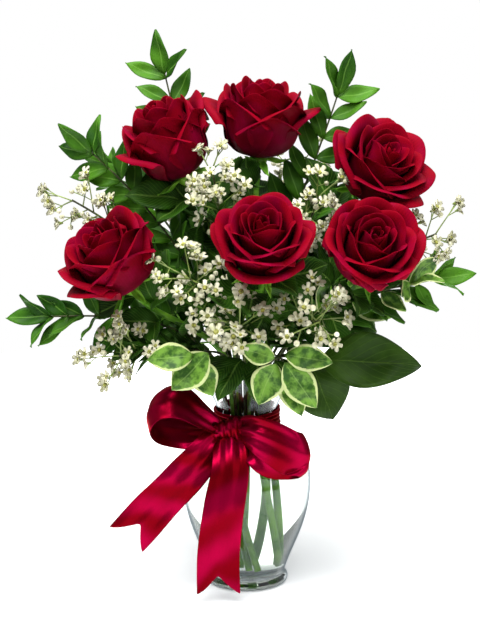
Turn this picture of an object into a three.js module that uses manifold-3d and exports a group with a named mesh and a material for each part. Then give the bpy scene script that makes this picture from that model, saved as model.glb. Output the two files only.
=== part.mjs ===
// Six red roses with mixed greenery and waxflower, standing in water in a clear glass vase that
// has a satin ribbon tied round its neck. Millimetres, +Z up. The origin is the centre of the
// underside of the vase, and the front of the bouquet faces -Y.
import * as THREE from 'three';
import { mergeVertices } from 'three/addons/utils/BufferGeometryUtils.js';
import Module from 'manifold-3d';

const wasm = await Module();
wasm.setup();

// ---- driving dimensions ----
const gap = 0.3;                 // air left between neighbouring pieces

const vaseHeight = 176;
const lipRadius = 38;
const neckRadius = 23;
const neckHeight = 137;
const bellyRadius = 51;
const bellyHeight = 84;
const footRadius = 33;
const footHeight = 5;
const waistRadius = 31.5;
const waistHeight = 12;
const glassWall = 2.4;
const glassBase = 9;             // thickness of the glass under the water
const waterHeight = 122;

const ribbonWidth = 34;
const ribbonThickness = 1;
const bandWidth = 13;            // the ribbon is gathered where it goes round the neck
const knotWidth = 24;
const knotHeight = 18;
const knotDepth = 14;

const bloomRadius = 35;
const bloomHeight = 52;
const bloomSeat = 6.5;           // flat underside of the bloom, which the hip carries
const hipHeight = 11;
const roseStem = 5;
const sepalLength = 24;
const sepalWidth = 5;
const stemEnd = 16;              // height of the lowest cut stem end

const twigStem = 2.8;
const twigEnd = 106;             // height of the cut ends of the filler stems
const stalk = 1.5;
const leafThickness = 1;
const rooted = 1.5;              // how deep a leaf starts in its stem
const floretRadius = 6;
const floretThickness = 3;
const spread = 1;                // how widely the flowers and leaves are arranged
const roomyFor = 35;             // bloom radius for which the places below leave room

// Every place in the bouquet is given from the centre of the vase mouth. Larger blooms need
// more room, so the places move apart with them.
const reach = spread * bloomRadius / roomyFor;
const at = (x, y, z) => new THREE.Vector3(x * reach, y * reach, vaseHeight + z * reach);
const toward = (x, y, z) => new THREE.Vector3(x, y, z).normalize();
const z0 = new THREE.Vector3(0, 0, 1);

const roses = [
  { centre: at(-60, -5, 178), axis: toward(-0.4, -0.2, 0.9), size: 0.98, tall: 1.15 },
  { centre: at(10, 4, 194), axis: toward(0.05, -0.1, 1), size: 1, tall: 1.15 },
  { centre: at(99, -24, 160), axis: toward(0.45, -0.6, 0.75), size: 1.04, tall: 1 },
  { centre: at(11, -96, 117), axis: toward(0, -0.6, 0.8), size: 1, tall: 1 },
  { centre: at(89, -80, 108), axis: toward(0.15, -0.75, 0.65), size: 1.06, tall: 1 },
  { centre: at(-101, -50, 94), axis: toward(-0.45, -0.4, 0.8), size: 1.04, tall: 1 },
];

// Long-leaved sprigs: where the tip is, which way it points, and where the leaves begin.
const sprigs = [
  { tip: at(-64, 32, 226), way: toward(-0.2, 0, 1), bare: 0.8, leaf: 30, count: 7 },
  { tip: at(-120, 4, 168), way: toward(-0.8, 0, 0.7), bare: 0.62, leaf: 32, count: 8 },
  { tip: at(-150, -30, 46), way: toward(-1, 0.05, -0.05), bare: 0.42, leaf: 38, count: 10 },
  { tip: at(70, 16, 212), way: toward(0.3, 0, 1), bare: 0.72, leaf: 30, count: 9 },
  { tip: at(140, -38, 76), way: toward(1, 0, 0.15), bare: 0.55, leaf: 36, count: 9 },
  { tip: at(-112, 96, 150), way: toward(-0.7, 0.6, 0.5), bare: 0.5, leaf: 36, count: 9 },
  { tip: at(118, 88, 140), way: toward(0.7, 0.6, 0.4), bare: 0.5, leaf: 36, count: 9 },
  { tip: at(4, 140, 80), way: toward(0, 1, 0.1), bare: 0.45, leaf: 38, count: 9 },
];

// Waxflower: the middle of each head of florets and the way it faces.
const heads = [
  { tip: at(-132, -22, 134), way: toward(-0.8, -0.4, 0.5) },
  { tip: at(-96, -58, 22), way: toward(-0.6, -0.8, 0.1) },
  { tip: at(-26, -44, 160), way: toward(-0.1, -0.6, 0.8) },
  { tip: at(52, -48, 140), way: toward(0.1, -0.7, 0.7) },
  { tip: at(-42, -78, 84), way: toward(-0.3, -0.9, 0.3) },
  { tip: at(-6, -88, 50), way: toward(0, -1, 0.1) },
  { tip: at(52, -96, 56), way: toward(0.2, -1, 0.1) },
  { tip: at(140, -46, 112), way: toward(0.8, -0.5, 0.4) },
  { tip: at(-58, 84, 150), way: toward(-0.4, 0.7, 0.7) },
  { tip: at(46, 88, 152), way: toward(0.3, 0.7, 0.7) },
];

// Variegated shoots with round leaves.
const shoots = [
  { tip: at(26, -74, 22), way: toward(0.2, -1, -0.1), leaf: 34, count: 6 },
  { tip: at(-46, -66, 22), way: toward(-0.5, -0.9, -0.1), leaf: 34, count: 5 },
  { tip: at(122, -58, 76), way: toward(0.8, -0.6, 0.2), leaf: 32, count: 5 },
  { tip: at(-16, 112, 116), way: toward(-0.1, 0.9, 0.4), leaf: 32, count: 5 },
];

// Broad dark leaves low at the collar, each on its own short stem.
const broadLeaves = [
  { tip: at(54, -53, 17), way: toward(1, -0.07, -0.04), face: toward(0.05, -0.92, 0.4), length: 76 },
  { tip: at(49, -42, 10), way: toward(0.36, -0.04, -0.93), face: toward(0.15, -0.97, 0.1), length: 44 },
  { tip: at(56, 60, 20), way: toward(0.8, 0.7, -0.3), face: toward(0.2, 0.3, 0.9), length: 74 },
  { tip: at(-58, 58, 18), way: toward(-0.8, 0.7, -0.3), face: toward(-0.2, 0.3, 0.9), length: 74 },
];
const broadLeafWidth = 42;

// ---- solids and meshes ----
function solidOf(geometry) {
  const plain = geometry.clone();
  plain.deleteAttribute('normal');
  plain.deleteAttribute('uv');
  const merged = mergeVertices(plain, 1e-4);
  return new wasm.Manifold(new wasm.Mesh({
    numProp: 3,
    vertProperties: Float32Array.from(merged.attributes.position.array),
    triVerts: Uint32Array.from(merged.index.array),
  }));
}

function geometryOf(solid) {
  const { vertProperties, triVerts } = solid.getMesh();
  const geometry = new THREE.BufferGeometry();
  geometry.setAttribute('position', new THREE.BufferAttribute(vertProperties, 3));
  geometry.setIndex(new THREE.BufferAttribute(triVerts, 1));
  geometry.computeVertexNormals();
  return geometry;
}

function moved(geometry, matrix) {
  return geometry.clone().applyMatrix4(matrix);
}

// Moves every vertex of a geometry by a rule of its position.
function shaped(geometry, rule) {
  const place = geometry.attributes.position;
  const point = new THREE.Vector3();
  for (let i = 0; i < place.count; i += 1) {
    point.fromBufferAttribute(place, i);
    rule(point);
    place.setXYZ(i, point.x, point.y, point.z);
  }
  return geometry;
}

const group = new THREE.Group();
const taken = [];                // every solid placed so far, with the piece it belongs to

function claim(solid, owner) {
  taken.push({ solid, owner, box: solid.boundingBox() });
  return solid;
}

function apart(a, b) {
  return [0, 1, 2].some((k) => a.max[k] < b.min[k] || b.max[k] < a.min[k]);
}

function isFree(solid, owner) {
  const box = solid.boundingBox();
  return taken.every((other) => other.owner === owner || apart(box, other.box)
    || solid.intersect(other.solid).isEmpty());
}

// The first candidate that stays clear of every other piece. make(choice, room) returns the
// geometry, made larger all round by room so that the gap to the neighbours is kept.
function firstFree(owner, choices, make) {
  for (const choice of choices) {
    if (isFree(solidOf(make(choice, gap)), owner)) {
      return choice;
    }
  }
  return null;
}

function addMesh(name, geometry, material) {
  const mesh = new THREE.Mesh(geometry, new THREE.MeshStandardMaterial(material));
  mesh.name = name;
  group.add(mesh);
}

function addSolid(name, solid, material) {
  addMesh(name, geometryOf(solid), material);
}

const glass = { color: 0xeef4f3, roughness: 0.05, metalness: 0, transparent: true, opacity: 0.35 };
const clearWater = { color: 0xe6f1ee, roughness: 0.05, metalness: 0, transparent: true, opacity: 0.35 };
const satin = { color: 0x7c0f22, roughness: 0.35, metalness: 0 };
const petal = { color: 0x8f0a1c, roughness: 0.6, metalness: 0 };
const greenStem = { color: 0x4c6b2c, roughness: 0.6, metalness: 0 };
const longLeaf = { color: 0x41622f, roughness: 0.5, metalness: 0 };
const creamFlower = { color: 0xe8e4cf, roughness: 0.7, metalness: 0 };
const creamEdged = { color: 0x8da95a, roughness: 0.5, metalness: 0 };
const darkLeaf = { color: 0x2f4a2a, roughness: 0.45, metalness: 0 };

// ---- glass vase and water ----
// The wall from the waist to the lip: out to the belly, in to the neck, and out to the mouth.
function wallPoints(inset, top) {
  const v = (r, z) => new THREE.Vector2(r - inset, z);
  const rise = bellyHeight - waistHeight;
  const shoulder = neckHeight - bellyHeight;
  const flare = vaseHeight - neckHeight;
  const grow = bellyRadius - waistRadius;
  const mouth = lipRadius - neckRadius;
  const belly = new THREE.CubicBezierCurve(
    v(waistRadius, waistHeight),
    v(waistRadius + 0.35 * grow, waistHeight + 0.3 * rise),
    v(bellyRadius, bellyHeight - 0.45 * rise),
    v(bellyRadius, bellyHeight),
  );
  const neck = new THREE.CubicBezierCurve(
    v(bellyRadius, bellyHeight),
    v(bellyRadius, bellyHeight + 0.55 * shoulder),
    v(neckRadius, neckHeight - 0.45 * shoulder),
    v(neckRadius, neckHeight),
  );
  const lip = new THREE.CubicBezierCurve(
    v(neckRadius, neckHeight),
    v(neckRadius, neckHeight + 0.3 * flare),
    v(lipRadius - 0.2 * mouth, vaseHeight - 0.35 * flare),
    v(lipRadius, vaseHeight),
  );
  const points = [...belly.getPoints(4), ...neck.getPoints(5).slice(1), ...lip.getPoints(3).slice(1)];
  return points.filter((p) => p.y <= top);
}

function radiusAt(points, height) {
  const above = points.findIndex((p) => p.y >= height);
  if (above < 1) {
    return points.at(above).x;
  }
  const low = points[above - 1];
  const high = points[above];
  return low.x + (high.x - low.x) * (height - low.y) / (high.y - low.y);
}

const vaseSides = 28;

function lathe(profile, sides) {
  const points = profile.map((p) => new THREE.Vector2(Math.max(p.x, 0), p.y));
  return new THREE.LatheGeometry(points, sides).rotateX(Math.PI / 2);
}

// The wall line closed at the bottom with a flat floor and the foot's own corner.
function hollow(inset, floor, top) {
  const wall = wallPoints(inset, top).filter((p) => p.y > floor + 6);
  const whole = wallPoints(inset, vaseHeight);
  const corner = radiusAt(whole, Math.max(floor + 6, waistHeight)) - 4;
  return [new THREE.Vector2(0, floor), new THREE.Vector2(corner, floor), ...wall];
}

const outerWall = wallPoints(0, vaseHeight);
const innerWall = hollow(glassWall, glassBase, vaseHeight);
const foot = [[0, 0], [footRadius - 1, 0], [footRadius, 1.5], [footRadius, footHeight]];
const vaseTurned = lathe([
  ...foot.map(([r, z]) => new THREE.Vector2(r, z)),
  ...outerWall,
  ...innerWall.slice().reverse(),
], vaseSides);
addSolid('vase', claim(solidOf(vaseTurned), 'vase'), glass);

// ---- ribbon ----
// A strip whose middle follows a curve. The direction across it turns from one end to the other,
// and it is gathered narrower where it goes into the knot.
const gathered = 12;
const loopWidth = (s) => gathered + (ribbonWidth - gathered) * Math.sin(Math.PI * s) ** 0.6;
const tailWidth = (s) => gathered + (ribbonWidth - gathered) * s ** 0.3;

function strip(points, widthFrom, widthTo, widthAt, steps, notch = 0) {
  const path = new THREE.CatmullRomCurve3(points.map((p) => new THREE.Vector3(...p)));
  const box = new THREE.BoxGeometry(1, 1, 1, steps, 2, 1);
  const from = new THREE.Vector3(...widthFrom).normalize();
  const to = new THREE.Vector3(...widthTo).normalize();
  return shaped(box, (p) => {
    const middle = 1 - 2 * Math.abs(p.y);
    const s = (p.x + 0.5) * (1 - notch * middle * (p.x > 0.49 ? 1 : 0));
    const along = path.getTangentAt(s);
    const across = from.clone().lerp(to, s);
    across.addScaledVector(along, -across.dot(along)).normalize();
    const normal = new THREE.Vector3().crossVectors(along, across);
    const centre = path.getPointAt(s);
    centre.addScaledVector(across, p.y * widthAt(s)).addScaledVector(normal, p.z * ribbonThickness);
    p.copy(centre);
  });
}

const bandMiddle = neckHeight;
const bandLow = bandMiddle - bandWidth / 2;
const bandRadii = [0, 0.33, 0.67, 1].map((k) => {
  const z = bandLow + bandWidth * k;
  return new THREE.Vector2(radiusAt(outerWall, z) + 2 * gap, z);
});
const bandOuter = bandRadii.map((p) => new THREE.Vector2(p.x + 1.6, p.y)).reverse();
const bandRing = lathe([...bandRadii, ...bandOuter, bandRadii[0]].reverse(), 24);
addSolid('ribbon_band', claim(solidOf(bandRing), 'ribbon_band'), satin);

const knotX = -14;
const bandReach = Math.max(...bandOuter.map((p) => p.x)) + 6 * gap;
const bandFront = Math.sqrt(bandReach ** 2 - knotX ** 2);
const knotCentre = new THREE.Vector3(knotX, -bandFront - knotDepth / 2 - gap, neckHeight - 4);
const knotShape = new THREE.SphereGeometry(0.5, 12, 8);
knotShape.scale(knotWidth, knotDepth, knotHeight);
knotShape.translate(knotCentre.x, knotCentre.y, knotCentre.z);
addSolid('ribbon_knot', claim(solidOf(knotShape), 'ribbon_knot'), satin);

const fromKnot = (x, y, z) => [knotCentre.x + x, knotCentre.y + y, knotCentre.z + z];
// One loop lies over the shoulder: y is measured from the front of the wall beside its lower edge.
function overShoulder(x, y, z) {
  const middle = knotCentre.z + z;
  return [knotCentre.x + x, y - radiusAt(outerWall, middle - ribbonWidth / 2), middle];
}
// The tails hang clear of the belly: y is measured from its front.
const fromBelly = (x, y, z) => [knotCentre.x + x, y - bellyRadius, knotCentre.z + z];
const halfKnot = knotWidth / 2 + gap;

function addStrip(name, geometry) {
  const solid = solidOf(geometry);
  addSolid(name, claim(solid, name), satin);
}

addStrip('ribbon_loop_left', strip([
  fromKnot(-halfKnot - 0.4, -2, 2.5),
  fromKnot(-22, -7, 14),
  fromKnot(-38, -9, 25),
  fromKnot(-54, -7, 24),
  fromKnot(-62, -2, 13),
  fromKnot(-57, 4, 3),
  fromKnot(-41, 6, -2),
  fromKnot(-24, 5, -4),
  fromKnot(-halfKnot - 0.4, 3, -2.5),
], [0.1, 0.8, 0.6], [0.1, 0.8, 0.6], loopWidth, 20));
addStrip('ribbon_loop_right', strip([
  fromKnot(halfKnot + 0.4, -3.5, 0.5),
  overShoulder(20, -13.4, 2),
  overShoulder(36, -16.1, -2),
  overShoulder(50, -10.6, -8),
  overShoulder(57, -1.8, -12),
  overShoulder(52, 5.3, -15),
  overShoulder(38, 3.8, -15),
  overShoulder(22, 1.6, -9),
  fromKnot(halfKnot + 0.4, 1, -2),
], [0.2, 0.1, 0.97], [0.2, 0.1, 0.97], loopWidth, 20));
addStrip('ribbon_tail_left', strip([
  fromKnot(-9, -5, -knotHeight / 2 - 2),
  fromBelly(-23, 7.5, -22),
  fromBelly(-38, 5.5, -38),
  fromBelly(-57, 4.5, -58),
  fromBelly(-80, 4.5, -84),
], [0.9, 0.1, -0.3], [0.7, 0.1, -0.9], tailWidth, 10, 0.14));
addStrip('ribbon_tail_front', strip([
  fromKnot(1, -5, -knotHeight / 2 - 2.5),
  fromBelly(1, -1.05, -28),
  fromBelly(-4, -6.05, -56),
  fromBelly(-8, -7.05, -92),
  fromBelly(-8, -5.05, 8 - knotCentre.z),
], [1, 0.1, 0], [1, 0, 0], tailWidth, 10, 0.14));

// ---- rose blooms ----
// Radius and height of each turn of the bloom, from the seat over the outer petals to the heart.
const bloomLine = [
  [0, 0], [0, 0], [0.52, 0.1], [0.82, 0.36], [0.88, 0.66], [1, 0.86], [0.86, 0.88],
  [0.68, 0.66], [0.6, 0.96], [0.42, 0.72], [0.3, 0.98], [0.12, 0.82], [0, 0.84],
];
const bloomLobes = [0, 0, 0.02, 0.04, 0.05, 0.07, 0.06, 0.04, 0.06, 0.04, 0.05, 0, 0];

function placeOf(base, axis, roll) {
  const turn = new THREE.Quaternion().setFromUnitVectors(z0, axis);
  const spin = new THREE.Quaternion().setFromAxisAngle(z0, roll);
  return new THREE.Matrix4().compose(base, turn.multiply(spin), new THREE.Vector3(1, 1, 1));
}

function bloom(rose, roll) {
  const radius = bloomRadius * rose.size;
  const height = bloomHeight * rose.tall;
  const line = bloomLine.map(([r, z]) => new THREE.Vector2(r * radius, z * height));
  line[1].x = bloomSeat;
  const body = lathe(line, 20);
  const rows = bloomLine.length;
  const place = body.attributes.position;
  for (let i = 0; i < place.count; i += 1) {
    const row = i % rows;
    const angle = Math.atan2(place.getY(i), place.getX(i));
    const lobe = 1 + bloomLobes[row] * Math.cos(5 * angle + 1.3 * row);
    place.setX(i, place.getX(i) * lobe);
    place.setY(i, place.getY(i) * lobe);
  }
  return moved(body, placeOf(rose.base, rose.axis, roll));
}

roses.forEach((rose, i) => {
  rose.base = rose.centre.clone().addScaledVector(rose.axis, -bloomHeight * rose.tall / 2);
  const name = `rose_${i + 1}_bloom`;
  addSolid(name, claim(solidOf(bloom(rose, i * 1.1)), name), petal);
});

// ---- stems ----
const roseStems = roses.map((rose, i) => ({
  ...rose,
  name: `rose_${i + 1}_stem`,
  width: roseStem,
  end: stemEnd,
  way: rose.axis,
  tip: rose.base.clone().addScaledVector(rose.axis, 1 - hipHeight),
}));
const twigs = (kind, list) => list.map((twig, i) => ({
  ...twig,
  name: `${kind}_${i + 1}`,
  width: twigStem,
  end: twigEnd,
}));
const stems = [
  ...roseStems,
  ...twigs('ruscus', sprigs),
  ...twigs('waxflower', heads),
  ...twigs('pittosporum', shoots),
  ...twigs('salal', broadLeaves),
];

// Where each stem passes the neck: on the side it leans to, the further out the more it leans,
// and then eased apart until every pair has room.
const neckRoom = neckRadius - glassWall - gap;
stems.forEach((stem) => {
  const lean = Math.atan2(Math.hypot(stem.tip.x, stem.tip.y), stem.tip.z - neckHeight);
  const side = Math.atan2(stem.tip.y, stem.tip.x);
  const far = neckRoom * 0.95 * Math.min(lean / 1.25, 1);
  stem.neck = new THREE.Vector2(far * Math.cos(side), far * Math.sin(side));
});
for (let round = 0; round < 400; round += 1) {
  stems.forEach((a, i) => {
    stems.slice(i + 1).forEach((b) => {
      const between = b.neck.clone().sub(a.neck);
      const need = (a.width + b.width) / 2 + 4 * gap;
      const short = need - between.length();
      if (short > 0) {
        between.setLength(short * 0.5);
        a.neck.sub(between);
        b.neck.add(between);
      }
    });
    const most = neckRoom - a.width / 2 - gap;
    if (a.neck.length() > most) {
      a.neck.setLength(most);
    }
  });
}

// Below the neck the stems cross over in a spiral and spread towards the wall.
const spiral = 1.4;
const bowl = wallPoints(glassWall + gap, vaseHeight);

function belowNeck(stem, height) {
  const k = (neckHeight - height) / (neckHeight - stemEnd);
  const room = radiusAt(bowl, Math.max(height, waistHeight + 6)) - stem.width / 2 - 2 * gap;
  const share = (stem.neck.length() / neckRoom) ** (1 - 0.55 * k);
  const spot = stem.neck.clone().setLength(room * share * (1 - 0.35 * Math.sin(Math.PI * k)));
  spot.rotateAround(new THREE.Vector2(), spiral * k);
  return new THREE.Vector3(spot.x, spot.y, height);
}

// Through the neck, out to the mouth, and over the lip to the tip.
const mouthRoom = lipRadius - glassWall - gap - 6;
const overLip = 5;

function stemPath(stem, bend) {
  const mouth = new THREE.Vector3(stem.neck.x, stem.neck.y, 0).multiplyScalar(mouthRoom / neckRoom);
  mouth.z = vaseHeight + overLip;
  const far = mouth.distanceTo(stem.tip);
  const lean = stem.tip.clone().sub(mouth).normalize().addScaledVector(z0, 1.1).normalize();
  const side = new THREE.Vector3().crossVectors(stem.way, z0).setLength(bend[0]);
  side.y += bend[1];
  const above = new THREE.CubicBezierCurve3(
    mouth,
    mouth.clone().addScaledVector(lean, far * 0.36),
    stem.tip.clone().addScaledVector(stem.way, -far * 0.3).add(side),
    stem.tip,
  );
  const depth = neckHeight - stem.end;
  const lower = depth > 60 ? [stem.end, stem.end + depth * 0.4, stem.end + depth * 0.75] : [stem.end];
  const flareHeight = (neckHeight + vaseHeight) / 2;
  const flareRoom = radiusAt(bowl, flareHeight) - gap;
  const inFlare = new THREE.Vector3(stem.neck.x, stem.neck.y, 0).multiplyScalar(flareRoom / neckRadius);
  inFlare.z = flareHeight;
  return new THREE.CatmullRomCurve3([
    ...lower.map((height) => belowNeck(stem, height)),
    new THREE.Vector3(stem.neck.x, stem.neck.y, neckHeight),
    inFlare,
    ...above.getPoints(4),
  ]);
}

function ring(radius, sides) {
  const shape = new THREE.Shape();
  for (let k = 0; k < sides; k += 1) {
    const angle = 2 * Math.PI * k / sides;
    const move = k ? 'lineTo' : 'moveTo';
    shape[move](radius * Math.cos(angle), radius * Math.sin(angle));
  }
  shape.closePath();
  return shape;
}

function tube(path, width, sides, steps, room = 0) {
  return new THREE.ExtrudeGeometry(ring(width / 2 + 1.2 * room, sides), {
    extrudePath: path, steps, bevelEnabled: false, curveSegments: 1,
  });
}

const sidesOf = (stem) => (stem.width > 4 ? 7 : 5);
const stepsOf = (stem) => (stem.width > 4 ? 10 : 9);
const bends = [0, 8, -8, 16, -16, 26, -26, 38, -38, 50, -50].flatMap(
  (a) => [[a, 0], [a, 14], [a, -14], [a, 30], [a, -30]],
);

stems.forEach((stem) => {
  const make = (bend, room) => tube(stemPath(stem, bend), stem.width, sidesOf(stem), stepsOf(stem), room);
  const bend = firstFree(stem.name, bends, make) ?? bends[0];
  stem.path = stemPath(stem, bend);
  stem.pieces = [claim(solidOf(make(bend, 0)), stem.name)];
});

// ---- leaves ----
// A leaf is a thin lens: it starts at base, runs along, shows its upper side to face, and arches.
function leaf(base, along, face, length, width, arch, rings, room = 0) {
  const body = new THREE.SphereGeometry(1, 4, rings);
  shaped(body, (p) => {
    const t = (p.y + 1) / 2;
    const rise = arch * length * (t - t * t);
    p.set(
      p.x * (width / 1.7 + room),
      t * (length + rooted) - rooted + p.y * room,
      p.z * (leafThickness / 1.7 + 1.4 * room) + rise,
    );
  });
  const side = new THREE.Vector3().crossVectors(along, face).normalize();
  const upper = new THREE.Vector3().crossVectors(side, along).normalize();
  const basis = new THREE.Matrix4().makeBasis(side, along, upper).setPosition(base);
  return moved(body, basis);
}

// The place on a stem's own straight stretches, which run between points of its path.
function onStem(stem, t) {
  const steps = stepsOf(stem);
  const k = Math.min(Math.floor(t * steps), steps - 1);
  return stem.path.getPointAt(k / steps).lerp(stem.path.getPointAt((k + 1) / steps), t * steps - k);
}

function aroundStem(tangent, angle) {
  const across = new THREE.Vector3().crossVectors(tangent, new THREE.Vector3(0.01, -0.02, 1)).normalize();
  return across.applyAxisAngle(tangent, angle);
}

// Leaves along the outer part of a stem, alternately on each side, each turned about the stem
// until it is clear of the neighbours.
function leafStem(stem, shape) {
  for (let k = 0; k < stem.count; k += 1) {
    const along = stem.bare + (1 - stem.bare) * (k / (stem.count - 1)) * 0.98;
    const point = onStem(stem, along);
    const tangent = stem.path.getTangentAt(along);
    const open = k === stem.count - 1 ? 0.15 : shape.open;
    const make = (choice, room) => {
      const out = aroundStem(tangent, Math.PI * k + choice[0]);
      const way = tangent.clone().multiplyScalar(Math.cos(open)).addScaledVector(out, Math.sin(open));
      way.normalize();
      const face = tangent.clone().multiplyScalar(Math.sin(open)).addScaledVector(out, -Math.cos(open));
      const length = stem.leaf * choice[1];
      return leaf(point, way, face, length, length * shape.slim, 0.2, 3, room);
    };
    const turns = [0, 0.5, -0.5, 1, -1, 1.5, -1.5, 2.2, -2.2, 3.1];
    const choices = [...turns.map((a) => [a, 1]), ...turns.map((a) => [a, 0.7])];
    const choice = firstFree(stem.name, choices, make);
    if (choice) {
      stem.pieces.push(claim(solidOf(make(choice, 0)), stem.name));
    }
  }
}

function finish(stem, material) {
  const whole = stem.pieces.reduce((sum, piece) => sum.add(piece));
  addSolid(stem.name, whole, material);
}

// ---- rose hips and sepals ----
const hipLine = [
  [0, 0],
  [bloomSeat, 0],
  [bloomSeat + 0.6, -2.5],
  [4.6, -0.75 * hipHeight],
  [2, -hipHeight],
  [0, -hipHeight],
];

stems.filter((stem) => stem.name.startsWith('rose')).forEach((stem) => {
  const line = hipLine.map(([r, z]) => new THREE.Vector2(r, z - gap)).reverse();
  const seat = placeOf(stem.base, stem.axis, 0);
  stem.pieces.push(claim(solidOf(moved(lathe(line, 8), seat)), stem.name));
  for (let k = 0; k < 5; k += 1) {
    const make = (choice, room) => {
      const angle = 2 * Math.PI * (k + choice) / 5;
      const out = new THREE.Vector3(Math.cos(angle), Math.sin(angle), -0.3).normalize();
      const start = out.clone().multiplyScalar(4).setZ(-3.6);
      return moved(leaf(start, out, z0, sepalLength, sepalWidth, -0.15, 3, room), seat);
    };
    const choice = firstFree(stem.name, [0, 0.2, -0.2, 0.4, -0.4], make);
    if (choice !== null) {
      stem.pieces.push(claim(solidOf(make(choice, 0)), stem.name));
    }
  }
  finish(stem, greenStem);
});

stems.filter((stem) => stem.name.startsWith('salal')).forEach((stem) => {
  const make = (choice, room) => {
    const way = stem.way.clone().applyAxisAngle(z0, choice);
    const start = onStem(stem, 0.96);
    return leaf(start, way, stem.face, stem.length, broadLeafWidth, -0.25, 4, room);
  };
  const turns = [0, 0.15, -0.15, 0.3, -0.3, 0.5, -0.5, 0.8, -0.8, 1.1, -1.1];
  const turn = firstFree(stem.name, turns, make) ?? 0;
  stem.pieces.push(claim(solidOf(make(turn, 0)), stem.name));
  finish(stem, darkLeaf);
});

stems.filter((stem) => stem.name.startsWith('ruscus')).forEach((stem) => {
  leafStem(stem, { open: 0.85, slim: 0.3 });
  finish(stem, longLeaf);
});

stems.filter((stem) => stem.name.startsWith('pittosporum')).forEach((stem) => {
  stem.bare = 0.8;
  leafStem(stem, { open: 1.1, slim: 0.62 });
  finish(stem, creamEdged);
});

// ---- waxflower heads ----
function floret(centre, way, room = 0) {
  const body = new THREE.SphereGeometry(1, 5, 2);
  body.scale(floretRadius + room, floretThickness / 2 + room, floretRadius + room);
  body.rotateX(Math.PI / 2);
  return moved(body, placeOf(centre, way, 0));
}

function straightTube(from, to, width, room = 0) {
  const line = new THREE.LineCurve3(from, to);
  return tube(line, width, 3, 1, room);
}

stems.filter((stem) => stem.name.startsWith('waxflower')).forEach((stem) => {
  for (let k = 0; k < 5; k += 1) {
    const from = onStem(stem, 0.84 + 0.15 * (k / 4));
    const tangent = stem.path.getTangentAt(0.9);
    const places = (choice) => {
      const out = aroundStem(tangent, 2.4 * k + choice[0]);
      const way = tangent.clone().multiplyScalar(0.35 + 0.09 * k).addScaledVector(out, 0.9).normalize();
      return { way, end: from.clone().addScaledVector(way, (24 - k) * choice[1]) };
    };
    const make = (choice, room) => {
      const { way, end } = places(choice);
      const head = solidOf(floret(end, way, room));
      const start = from.clone().addScaledVector(way, -rooted);
      return geometryOf(head.add(solidOf(straightTube(start, end, stalk, room))));
    };
    const turns = [0, 0.6, -0.6, 1.2, -1.2, 1.8, -1.8, 2.5, -2.5];
    const choices = [...turns.map((a) => [a, 1]), ...turns.map((a) => [a, 0.7])];
    const choice = firstFree(stem.name, choices, make);
    if (choice) {
      stem.pieces.push(claim(solidOf(make(choice, 0)), stem.name));
    }
  }
  finish(stem, creamFlower);
});

// ---- water, standing round the stems ----
const waterLine = hollow(glassWall + gap, glassBase + gap, waterHeight);
const surface = radiusAt(wallPoints(glassWall + gap, vaseHeight), waterHeight);
const waterBody = lathe([
  ...waterLine,
  new THREE.Vector2(surface, waterHeight),
  new THREE.Vector2(0, waterHeight),
], vaseSides);
const water = stems.reduce((rest, stem) => {
  const dip = tube(stem.path, stem.width, sidesOf(stem), stepsOf(stem), 1.4 * gap);
  return rest.subtract(solidOf(dip));
}, solidOf(waterBody));
addSolid('water', water, clearWater);

export default group;
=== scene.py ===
import math
import random

import bpy
from mathutils import Matrix, Vector


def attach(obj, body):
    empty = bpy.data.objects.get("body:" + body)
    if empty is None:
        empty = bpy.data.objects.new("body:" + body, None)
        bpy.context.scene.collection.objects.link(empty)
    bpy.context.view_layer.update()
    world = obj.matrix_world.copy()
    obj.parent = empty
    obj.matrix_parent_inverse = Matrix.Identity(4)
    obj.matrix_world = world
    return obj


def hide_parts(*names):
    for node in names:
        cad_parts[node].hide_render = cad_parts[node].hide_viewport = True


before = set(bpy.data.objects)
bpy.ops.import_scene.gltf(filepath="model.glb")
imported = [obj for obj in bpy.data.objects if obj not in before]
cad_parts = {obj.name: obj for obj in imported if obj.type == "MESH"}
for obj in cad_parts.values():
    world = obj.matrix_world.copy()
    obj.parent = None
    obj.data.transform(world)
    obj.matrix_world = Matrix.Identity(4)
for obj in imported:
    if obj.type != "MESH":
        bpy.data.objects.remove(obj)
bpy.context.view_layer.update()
mm = 0.001

# ---- camera ----
# A portrait lens a little over a metre away, straight in front of the bouquet and looking
# slightly down at its middle.
tilt = math.radians(12)
aim = Vector((-5.5, 0, 213)) * mm
stand = aim + 1.18 * Vector((0, -math.cos(tilt), math.sin(tilt)))
bpy.ops.object.camera_add(location=stand, rotation=(math.pi / 2 - tilt, 0, 0))
camera = bpy.context.object
camera.data.lens = 85
bpy.context.scene.camera = camera

# ---- glass vase ----
# A clear pressed-glass urn: a round belly on a short thick foot, a narrow neck and a flared lip.
# It is turned from one line, so that its wall, its thick floor and its round lip are one piece.
vase_height = 176 * mm
lip_radius = 38 * mm
neck_radius = 23 * mm
neck_height = 137 * mm
belly_radius = 51 * mm
belly_height = 84 * mm
waist_radius = 31.5 * mm
waist_height = 12 * mm
glass_wall = 2.4 * mm
glass_floor = 9 * mm


def only(piece):
    if bpy.context.object and bpy.context.object.mode != "OBJECT":
        bpy.ops.object.mode_set(mode="OBJECT")
    bpy.ops.object.select_all(action="DESELECT")
    piece.select_set(True)
    bpy.context.view_layer.objects.active = piece


def new_piece(name, points, edges, faces):
    mesh = bpy.data.meshes.new(name)
    mesh.from_pydata([tuple(p) for p in points], edges, faces)
    piece = bpy.data.objects.new(name, mesh)
    bpy.context.scene.collection.objects.link(piece)
    only(piece)
    return piece


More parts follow.
